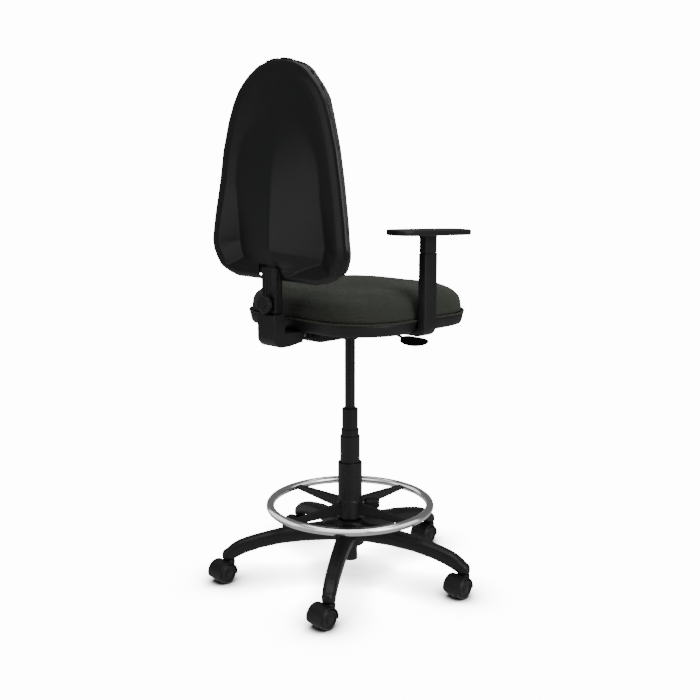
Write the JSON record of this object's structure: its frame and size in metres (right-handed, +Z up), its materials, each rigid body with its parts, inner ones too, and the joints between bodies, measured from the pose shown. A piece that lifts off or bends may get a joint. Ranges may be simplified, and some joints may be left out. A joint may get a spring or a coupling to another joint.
{
  "type": "drafting chair",
  "caption": "Tall swivel drafting chair with a gas lift, adjustable footring, tilting back, height-adjustable arms and a star base on twin-wheel castors.",
  "frame": {"origin": "on the floor, on the column's axis", "axes": "+Z up along the column; the chair faces -Y; +X is the sitter's left"},
  "size_m": [0.6406, 0.6212, 1.264],
  "materials": {
    "black_plastic": "satin moulded, fine grain",
    "shell_plastic": "semi-gloss moulded",
    "arm_plastic": "satin moulded",
    "wheel_plastic": "hard satin",
    "painted_steel": "black powder coat",
    "bright_steel": "plain steel",
    "chrome": "polished",
    "seat_fabric": "woven, matt with a soft sheen",
    "plywood": "bare plywood"
  },
  "bodies": {
    "root": {"base_star": "black_plastic", "castor_stems": "bright_steel", "column_tube": "painted_steel", "guide_bush": "black_plastic", "thrust_bearing": "bright_steel"},
    "swivel": {"piston_rod": "bright_steel", "retaining_clip": "bright_steel"},
    "seat": {"gas_cylinder": "painted_steel", "mechanism_housing": "painted_steel", "seat_board": "plywood", "seat_pan": "black_plastic", "seat_cushion": "seat_fabric", "seat_screws": "bright_steel", "tilt_hinge_pin": "bright_steel", "lever_pin": "bright_steel", "arm_sleeve_left": "arm_plastic", "arm_sleeve_right": "arm_plastic"},
    "valve": {"valve_button": "bright_steel"},
    "lever": {"gas_lever": "painted_steel", "lever_handle": "black_plastic"},
    "back_support": {"back_bar": "painted_steel", "back_boot": "black_plastic"},
    "backrest": {"upright_cover": "black_plastic", "back_screws": "bright_steel", "back_shell": "shell_plastic", "back_board": "plywood", "back_cushion": "seat_fabric"},
    "back_clamp": {"back_knob": "black_plastic", "back_knob_screw": "bright_steel"},
    "ring_slider": {"footring_bush": "black_plastic"},
    "ring": {"footring_hub": "black_plastic", "footring_tube": "chrome"},
    "ring_clamp": {"footring_knob": "black_plastic", "footring_screw": "bright_steel"},
    "arm_left": {"arm_post_left": "arm_plastic", "arm_pad_left": "arm_plastic"},
    "button_left": {"arm_button_left": "arm_plastic"},
    "arm_right": {"arm_post_right": "arm_plastic", "arm_pad_right": "arm_plastic"},
    "button_right": {"arm_button_right": "arm_plastic"},
    "castor_1": {"castor_hood_1": "black_plastic", "castor_axle_1": "bright_steel"},
    "wheel_1_left": {"castor_wheel_1_left": "wheel_plastic"},
    "wheel_1_right": {"castor_wheel_1_right": "wheel_plastic"},
    "castor_2": {"castor_hood_2": "black_plastic", "castor_axle_2": "bright_steel"},
    "wheel_2_left": {"castor_wheel_2_left": "wheel_plastic"},
    "wheel_2_right": {"castor_wheel_2_right": "wheel_plastic"},
    "castor_3": {"castor_hood_3": "black_plastic", "castor_axle_3": "bright_steel"},
    "wheel_3_left": {"castor_wheel_3_left": "wheel_plastic"},
    "wheel_3_right": {"castor_wheel_3_right": "wheel_plastic"},
    "castor_4": {"castor_hood_4": "black_plastic", "castor_axle_4": "bright_steel"},
    "wheel_4_left": {"castor_wheel_4_left": "wheel_plastic"},
    "wheel_4_right": {"castor_wheel_4_right": "wheel_plastic"},
    "castor_5": {"castor_hood_5": "black_plastic", "castor_axle_5": "bright_steel"},
    "wheel_5_left": {"castor_wheel_5_left": "wheel_plastic"},
    "wheel_5_right": {"castor_wheel_5_right": "wheel_plastic"}
  },
  "joints": [
    {"name": "seat_swivel", "type": "hinge", "parent": "root", "child": "swivel", "pos_m": [0, 0, 0.05], "axis": [0, 0, 1], "continuous": true},
    {"name": "seat_height", "type": "slide", "parent": "swivel", "child": "seat", "axis": [0, 0, 1], "range_m": [-0.17, 0]},
    {"name": "back_tilt", "type": "hinge", "parent": "seat", "child": "back_support", "pos_m": [0, 0.17, 0.639], "axis": [-1, 0, 0], "range_deg": [0, 20], "stiffness_Nm_per_rad": 40, "springref_deg": -20.05},
    {"name": "back_height", "type": "slide", "parent": "back_support", "child": "backrest", "axis": [0, 0, 1], "range_m": [0, 0.06]},
    {"name": "back_knob_turn", "type": "hinge", "parent": "backrest", "child": "back_clamp", "pos_m": [0, 0.28, 0.719], "axis": [0, 1, 0], "range_deg": [0, 360]},
    {"name": "gas_lever_lift", "type": "hinge", "parent": "seat", "child": "lever", "pos_m": [-0.03, 0, 0.65], "axis": [0, 1, 0], "range_deg": [0, 6], "stiffness_Nm_per_rad": 3, "springref_deg": -5.73},
    {"name": "valve_press", "type": "slide", "parent": "seat", "child": "valve", "axis": [0, 0, -1], "range_m": [0, 0.0032], "stiffness_N_per_m": 500, "springref_m": -0.002},
    {"name": "arm_left_height", "type": "slide", "parent": "seat", "child": "arm_left", "axis": [0, 0, 1], "range_m": [0, 0.07]},
    {"name": "arm_left_button", "type": "slide", "parent": "seat", "child": "button_left", "axis": [0, 1, 0], "range_m": [0, 0.003], "stiffness_N_per_m": 600, "springref_m": -0.002},
    {"name": "arm_right_height", "type": "slide", "parent": "seat", "child": "arm_right", "axis": [0, 0, 1], "range_m": [0, 0.07]},
    {"name": "arm_right_button", "type": "slide", "parent": "seat", "child": "button_right", "axis": [0, 1, 0], "range_m": [0, 0.003], "stiffness_N_per_m": 600, "springref_m": -0.002},
    {"name": "footring_height", "type": "slide", "parent": "root", "child": "ring_slider", "axis": [0, 0, 1], "range_m": [0, 0.06]},
    {"name": "footring_turn", "type": "hinge", "parent": "ring_slider", "child": "ring", "pos_m": [0, 0, 0.182], "axis": [0, 0, 1], "continuous": true},
    {"name": "footring_knob_turn", "type": "hinge", "parent": "ring", "child": "ring_clamp", "pos_m": [-0.03535, -0.03535, 0.184], "axis": [-0.7071, -0.7071, 0], "range_deg": [0, 360]},
    {"name": "castor_1_swivel", "type": "hinge", "parent": "root", "child": "castor_1", "pos_m": [0, -0.3094, 0.05], "axis": [0, 0, 1], "continuous": true},
    {"name": "castor_1_left_roll", "type": "hinge", "parent": "castor_1", "child": "wheel_1_left", "pos_m": [0.017, -0.2894, 0.025], "axis": [1, 0, 0], "continuous": true},
    {"name": "castor_1_right_roll", "type": "hinge", "parent": "castor_1", "child": "wheel_1_right", "pos_m": [-0.017, -0.2894, 0.025], "axis": [1, 0, 0], "continuous": true},
    {"name": "castor_2_swivel", "type": "hinge", "parent": "root", "child": "castor_2", "pos_m": [0.29426, -0.09561, 0.05], "axis": [0, 0, 1], "continuous": true},
    {"name": "castor_2_left_roll", "type": "hinge", "parent": "castor_2", "child": "wheel_2_left", "pos_m": [0.31126, -0.07561, 0.025], "axis": [1, 0, 0], "continuous": true},
    {"name": "castor_2_right_roll", "type": "hinge", "parent": "castor_2", "child": "wheel_2_right", "pos_m": [0.27726, -0.07561, 0.025], "axis": [1, 0, 0], "continuous": true},
    {"name": "castor_3_swivel", "type": "hinge", "parent": "root", "child": "castor_3", "pos_m": [0.18186, 0.25031, 0.05], "axis": [0, 0, 1], "continuous": true},
    {"name": "castor_3_left_roll", "type": "hinge", "parent": "castor_3", "child": "wheel_3_left", "pos_m": [0.19886, 0.27031, 0.025], "axis": [1, 0, 0], "continuous": true},
    {"name": "castor_3_right_roll", "type": "hinge", "parent": "castor_3", "child": "wheel_3_right", "pos_m": [0.16486, 0.27031, 0.025], "axis": [1, 0, 0], "continuous": true},
    {"name": "castor_4_swivel", "type": "hinge", "parent": "root", "child": "castor_4", "pos_m": [-0.18186, 0.25031, 0.05], "axis": [0, 0, 1], "continuous": true},
    {"name": "castor_4_left_roll", "type": "hinge", "parent": "castor_4", "child": "wheel_4_left", "pos_m": [-0.16486, 0.27031, 0.025], "axis": [1, 0, 0], "continuous": true},
    {"name": "castor_4_right_roll", "type": "hinge", "parent": "castor_4", "child": "wheel_4_right", "pos_m": [-0.19886, 0.27031, 0.025], "axis": [1, 0, 0], "continuous": true},
    {"name": "castor_5_swivel", "type": "hinge", "parent": "root", "child": "castor_5", "pos_m": [-0.29426, -0.09561, 0.05], "axis": [0, 0, 1], "continuous": true},
    {"name": "castor_5_left_roll", "type": "hinge", "parent": "castor_5", "child": "wheel_5_left", "pos_m": [-0.27726, -0.07561, 0.025], "axis": [1, 0, 0], "continuous": true},
    {"name": "castor_5_right_roll", "type": "hinge", "parent": "castor_5", "child": "wheel_5_right", "pos_m": [-0.31126, -0.07561, 0.025], "axis": [1, 0, 0], "continuous": true}
  ],
  "couplings": [
    {"joint": "valve_press", "follows": "gas_lever_lift", "m_per_rad": 0.03}
  ]
}
